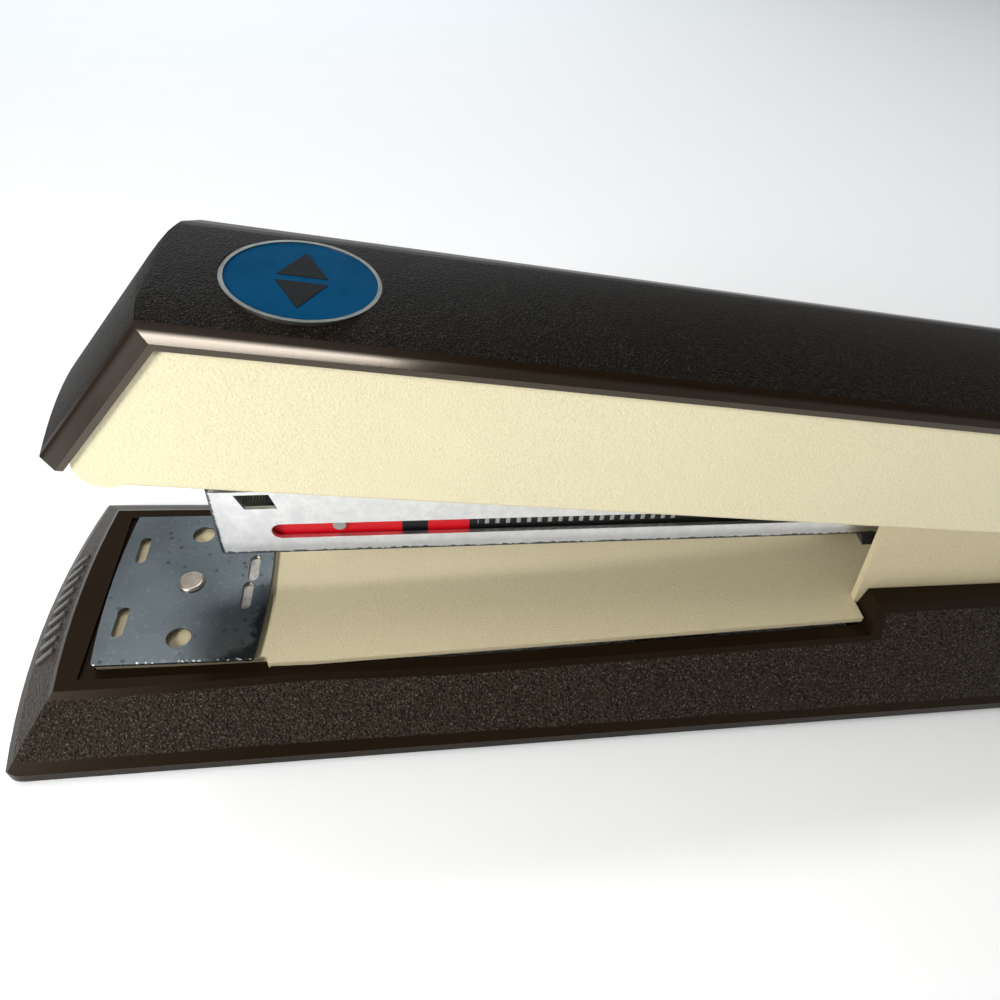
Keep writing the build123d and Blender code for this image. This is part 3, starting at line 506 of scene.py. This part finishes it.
def coil(node, body, start, end, radius, wire, turns, material):
    """Compression spring with a closed turn at each end, standing for the node's plain sleeve.

    radius is the coil's outer one and wire half the wire's thickness, both in metres.
    """
    axis = end - start
    length = axis.length
    axis.normalize()
    side = axis.orthogonal().normalized()
    other = axis.cross(side)
    steps_per_turn = 18
    closed = 1.0                       # dead turn at each end
    closed_rise = wire * 1.1
    live = turns - 2 * closed
    live_rise = length - 2 * wire - 2 * closed * closed_rise
    path = []
    for i in range(int(turns * steps_per_turn) + 1):
        t = i / steps_per_turn
        first = min(t, closed)
        middle = min(max((t - closed) / live, 0), 1)
        last = max(t - closed - live, 0)
        height = wire + closed_rise * (first + last) + live_rise * middle
        angle = 2 * pi * t
        out = (side * cos(angle) + other * sin(angle)) * (radius - wire)
        path.append(start + axis * height + out)
    bm = bmesh.new()
    sweep(bm, path, wire)
    piece = mesh_object(node + "_coil", bm, material)
    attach(piece, body)
    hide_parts(node)
    return piece


def side_frame(tilt):
    """From a side frame in millimetres (towards the nose, across, up) to the model's frame."""
    turn = Euler((0, tilt, 0)).to_matrix().to_4x4()
    return Matrix.Translation(PIVOT) @ turn @ Matrix.Diagonal((-MM, MM, MM, 1))


def local_box(node, place):
    """Lowest and highest corner of a CAD node in a side frame, in millimetres."""
    back = place.inverted()
    points = [back @ v.co for v in frame["nodes"][node].data.vertices]
    low = Vector([min(p[i] for p in points) for i in range(3)])
    high = Vector([max(p[i] for p in points) for i in range(3)])
    return low, high


def upright_coil(node, wire, turns, gap, material):
    """Coil of the base's own, that stops a gap short of its sleeve's top; wire and gap in mm."""
    low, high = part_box(node)
    x = (low.x + high.x) / 2
    start = Vector((x, 0, low.z))
    end = Vector((x, 0, high.z - gap * MM))
    return coil(node, "base", start, end, (high.x - low.x) / 2, wire * MM, turns, material)


def add_springs(spring):
    """Real coils in place of the CAD sleeves."""
    upright_coil("lift_spring", 0.35, 5.5, 2.6, spring)
    piece = upright_coil("anvil_spring", 0.3, 5, 0.0, spring)
    low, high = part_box("anvil_spring")
    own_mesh(piece)

    place = side_frame(MAGAZINE_TILT)
    low, high = local_box("handle_spring", place)
    m = (low.x + high.x) / 2
    radius = (high.x - low.x) / 2 * MM
    start = place @ Vector((m, 0, low.z))
    end = place @ Vector((m, 0, high.z - 2.2))
    coil("handle_spring", "magazine", start, end, radius, 0.3 * MM, 6, spring)

    low, high = local_box("pusher_spring", place)
    n = (low.z + high.z) / 2
    radius = (high.z - low.z) / 2 * MM
    rear = place @ Vector((low.x, 0, n))
    front = place @ Vector((high.x, 0, n))
    piece = coil("pusher_spring", "magazine", rear, front, radius, 0.2 * MM, 27, spring)
    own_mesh(piece)


def add_staples(wire):
    """The strip as single bent wires."""
    place = side_frame(MAGAZINE_TILT)
    low, high = local_box("staple_strip", place)
    half = high.y - STAPLE_RADIUS
    top = high.z - STAPLE_RADIUS
    angles = [i * pi / 8 for i in range(5)]
    side = [(half, low.z)]
    for a in angles:
        side.append((half - STAPLE_BEND + STAPLE_BEND * cos(a), top - STAPLE_BEND + STAPLE_BEND * sin(a)))
    outline = side + [(-y, z) for y, z in reversed(side)]
    bm = bmesh.new()
    for k in range(int((high.x - low.x) / STAPLE_PITCH)):
        m = low.x + STAPLE_PITCH * (k + 0.5)
        sweep(bm, [place @ Vector((m, y, z)) for y, z in outline], STAPLE_RADIUS * MM)
    piece = mesh_object("staple_wires", bm, wire)
    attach(piece, "magazine")
    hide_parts("staple_strip")


def add_badge_emblem(ink):
    """Plain lozenge printed on the badge, cut across by a slit that shows the blue."""
    place = side_frame(HANDLE_TILT)
    low, high = local_box("badge_face", place)
    centre = (low + high) / 2
    reach = EMBLEM_HALF_WIDTH * (1 - EMBLEM_HALF_SLIT / EMBLEM_HALF_LENGTH)
    bm = bmesh.new()
    for way in (1, -1):
        slit, tip = way * EMBLEM_HALF_SLIT, way * EMBLEM_HALF_LENGTH
        corners = ((reach, slit), (0, tip), (-reach, slit))
        rings = []
        for height in (high.z, high.z + EMBLEM_THICK):
            points = [Vector((centre.x + m, centre.y + y, height)) for m, y in corners]
            ring = [bm.verts.new(place @ point) for point in points]
            bm.faces.new(ring)
            rings.append(ring)
        below, above = rings
        for i in range(3):
            j = (i + 1) % 3
            bm.faces.new((below[i], below[j], above[j], above[i]))
    piece = mesh_object("badge_emblem", bm, ink, smooth=False)
    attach(piece, "handle")


def cover_surface(y, z):
    """Point and normal on the cover's front bevel at a place across and a height, in metres."""
    mesh = frame["nodes"]["base_cover"].data
    tree = BVHTree.FromPolygons([v.co for v in mesh.vertices], [p.vertices for p in mesh.polygons])
    ahead_of_nose = Vector((-0.2, y, z))
    place, normal, _, _ = tree.ray_cast(ahead_of_nose, Vector((1, 0, 0)))
    return place, normal


def add_front_ribs(brown):
    """A row of short plain ribs moulded on the front bevel."""
    width, thick = RIB_SIZE
    bm = bmesh.new()
    for k in range(RIB_COUNT):
        y = (k - (RIB_COUNT - 1) / 2) * RIB_PITCH * MM
        low, normal = cover_surface(y, RIB_HEIGHTS[0] * MM)
        high, _ = cover_surface(y, RIB_HEIGHTS[1] * MM)
        along = (high - low).normalized()
        out = normal if normal.x < 0 else -normal
        across = along.cross(out).normalized()
        rib = bmesh.ops.create_cube(bm, size=1.0)["verts"]
        bmesh.ops.scale(bm, verts=rib, vec=((high - low).length, width * MM, thick * MM))
        turn = Matrix((along, across, out)).transposed().to_4x4()
        bmesh.ops.transform(bm, verts=rib, matrix=Matrix.Translation((low + high) / 2) @ turn)
    bmesh.ops.bevel(bm, geom=bm.edges[:], offset=RIB_ROUNDING * MM, segments=3, affect="EDGES", profile=0.5)
    piece = mesh_object("front_ribs", bm, brown)
    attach(piece, "base")


# ---- Carried-over CAD nodes ---------------------------------------------------------------------
def soften(node, width):
    """Gives a CAD node small rounded edges, width in millimetres."""
    obj = frame["nodes"][node]
    weld = obj.modifiers.new("weld", "WELD")
    weld.merge_threshold = 1e-6
    flat = obj.modifiers.new("flat", "DECIMATE")
    flat.decimate_type = "DISSOLVE"
    flat.angle_limit = radians(0.5)
    edge = obj.modifiers.new("edge", "BEVEL")
    edge.width = width * MM
    edge.segments = 3
    edge.limit_method = "ANGLE"
    edge.angle_limit = radians(28)
    edge.use_clamp_overlap = True
    edge.harden_normals = False
    for polygon in obj.data.polygons:
        polygon.use_smooth = True
    smooth = obj.modifiers.new("normals", "WEIGHTED_NORMAL")
    smooth.keep_sharp = True


def dress(material, *nodes):
    """Gives CAD nodes one material."""
    for node in nodes:
        slots = frame["nodes"][node].data.materials
        slots.clear()
        slots.append(material)


def dress_mouldings():
    cap = moulded_brown(
        "cap_brown", cap_zones, grain=3000, relief_share=0.55, gleam=0.04, sparkle=0.25,
        dark=(0.0024, 0.0017, 0.0010), light=(0.0086, 0.0061, 0.0038)
    )
    cover = moulded_brown(
        "cover_brown", cover_zones, grain=2100, relief_share=0.9, gleam=0.10, sparkle=0.45,
        dark=(0.0065, 0.0045, 0.0030), light=(0.028, 0.020, 0.0135)
    )
    black = moulded("black_plastic", (0.008, 0.008, 0.008), (0.02, 0.02, 0.02), 0.45)
    rubber = moulded("rubber", (0.015, 0.015, 0.015), (0.035, 0.034, 0.033), 0.8, 500)
    dress(cap, "handle_cap")
    dress(cover, "base_cover")
    dress(black, "pusher", "rear_block", "rest_stop", "anvil_button")
    dress(rubber, "rubber_foot_front", "rubber_foot_rear")


def dress_sheets():
    cream = cream_paint("cream_paint", (0.80, 0.73, 0.49), (0.72, 0.655, 0.43))
    # the tray's cream is the handle's cream paint made darker and dustier: painted shade for the tray under
    # the handle, with some soiling
    tray = cream_paint("tray_cream", (0.65, 0.557, 0.354), (0.555, 0.48, 0.30), tray_dirt_and_shade)
    dress(cream, "handle_frame")
    dress(tray, "base_frame")
    dress(zinc("zinc_channel", channel_wear_and_shade), "magazine_channel")
    dress(anvil_steel(), "anvil_plate")


def dress_fittings(spring, wire):
    bright = zinc("zinc_steel")
    dark = steel("dark_steel", (0.08, 0.08, 0.09), (0.2, 0.2, 0.22), 0.35)
    rim = steel("badge_rim", (0.20, 0.20, 0.18), (0.42, 0.42, 0.38), 0.32)
    rivet = steel("rivet_steel", (0.30, 0.29, 0.28), (0.55, 0.54, 0.53), 0.35)
    # the anvil's pivot steel is tinted tan: a painted reflection of the cream paint round it
    post = steel("post_steel", (0.20, 0.17, 0.14), (0.62, 0.56, 0.48), 0.3)
    dress(bright, "staple_track", "track_rivets", "spring_bridge")
    dress(bright, "frame_screws", "cap_screws", "holder_screws", "driver_rivets")
    dress(bright, "pivot_pin", "handle_washers", "ear_spacers")
    dress(dark, "driver_blade", "driver_holder")
    dress(rim, "badge_bezel")
    dress(rivet, "label_rivets")
    dress(post, "anvil_post")
    dress(spring, "pusher_rod", "pusher_spring", "lift_spring", "handle_spring", "anvil_spring")
    dress(wire, "staple_strip")
    dress(supply_print(), "supply_label")
    dress(enamel_blue(), "badge_face")


def soften_nodes():
    soften("handle_cap", 0.8)
    soften("base_cover", 0.3)
    soften("handle_frame", 0.35)
    soften("base_frame", 0.3)
    soften("magazine_channel", 0.2)
    soften("anvil_plate", 0.12)


def build_model():
    spring = steel("spring_steel", (0.25, 0.25, 0.26), (0.5, 0.5, 0.52), 0.3)
    # the staple wire is darker than bright steel: painted shade for the staples inside the magazine
    wire = steel("staple_wire", (0.22, 0.22, 0.23), (0.45, 0.46, 0.47), 0.3)
    ink = moulded("emblem_ink", (0.002, 0.002, 0.002), (0.006, 0.006, 0.006), 0.5, gleam=0.06)
    # the ribs are lighter and greyer than the cover: worn plastic, and a painted highlight on the raised
    # ribs
    ribs = moulded("rib_brown", (0.03, 0.027, 0.024), (0.07, 0.066, 0.062), 0.35)
    dress_mouldings()
    dress_sheets()
    dress_fittings(spring, wire)
    add_springs(spring)
    add_staples(wire)
    add_badge_emblem(ink)
    add_front_ribs(ribs)
    soften_nodes()


# ---- Stage --------------------------------------------------------------------------------------
def add_floor():
    bm = bmesh.new()
    bmesh.ops.create_grid(bm, x_segments=8, y_segments=8, size=FLOOR_HALF)
    mesh_object("floor", bm, pale_floor(), smooth=False)


def area_light(name, place, target, size, power, colour=(1, 1, 1)):
    """Rectangular light at a place, aimed at a target; metres and watts."""
    light = bpy.data.lights.new(name, "AREA")
    light.shape = "RECTANGLE"
    light.size, light.size_y = size
    light.energy = power
    light.color = colour
    obj = bpy.data.objects.new(name, light)
    obj.location = place
    obj.rotation_mode = "QUATERNION"
    obj.rotation_quaternion = (Vector(target) - Vector(place)).to_track_quat("-Z", "Y")
    bpy.context.scene.collection.objects.link(obj)


def add_room():
    """The studio's walls: pale low down, dimmer overhead."""
    world = bpy.data.worlds.new("studio")
    world.use_nodes = True
    nodes, links = world.node_tree.nodes, world.node_tree.links
    direction = nodes.new("ShaderNodeTexCoord")
    height = nodes.new("ShaderNodeSeparateXYZ")
    fade = nodes.new("ShaderNodeMapRange")
    background = nodes["Background"]
    for socket, value in (("From Min", 0.2), ("From Max", 0.5), ("To Min", 0.62), ("To Max", 0.22)):
        fade.inputs[socket].default_value = value
    background.inputs["Color"].default_value = (0.97, 0.98, 1.0, 1)
    links.new(direction.outputs["Generated"], height.inputs[0])
    links.new(height.outputs["Z"], fade.inputs["Value"])
    links.new(fade.outputs["Result"], background.inputs["Strength"])
    bpy.context.scene.world = world


def add_lights():
    """A near key light by the nose, a long box overhead, a low panel behind and a ceiling light."""
    area_light("key", (-0.30, -0.21, 0.22), NOSE, (0.12, 0.12), 1.38)
    area_light("overhead", (-0.12, 0.37, 0.80), NOSE, (0.44, 0.10), 2.1)
    area_light("back_panel", (-0.25, 0.80, 0.30), NOSE, (0.9, 0.12), 1.7, (0.75, 0.90, 1.0))
    area_light("room", (-0.15, 0.05, 1.50), ORIGIN, (0.8, 0.8), 5.6)
    bpy.context.scene.view_settings.view_transform = "Standard"


def add_camera():
    """Looks down at the nose from the near front corner."""
    level = cos(CAMERA_PITCH)
    ahead = Vector((sin(CAMERA_YAW) * level, cos(CAMERA_YAW) * level, -sin(CAMERA_PITCH)))
    right = Vector((cos(CAMERA_YAW), -sin(CAMERA_YAW), 0))
    up = right.cross(ahead)
    rolled_right = right * cos(CAMERA_ROLL) + up * sin(CAMERA_ROLL)
    rolled_up = up * cos(CAMERA_ROLL) - right * sin(CAMERA_ROLL)
    axes = Matrix((rolled_right, rolled_up, -ahead)).transposed()
    data = bpy.data.cameras.new("camera")
    data.sensor_width = CAMERA_SENSOR
    data.lens = CAMERA_LENS
    data.shift_x = CAMERA_SHIFT
    data.clip_start = CAMERA_NEAR
    camera = bpy.data.objects.new("camera", data)
    camera.matrix_world = Matrix.Translation(CAMERA_PLACE) @ axes.to_4x4()
    bpy.context.scene.collection.objects.link(camera)
    bpy.context.scene.camera = camera


build_model()
add_floor()
add_room()
add_lights()
add_camera()
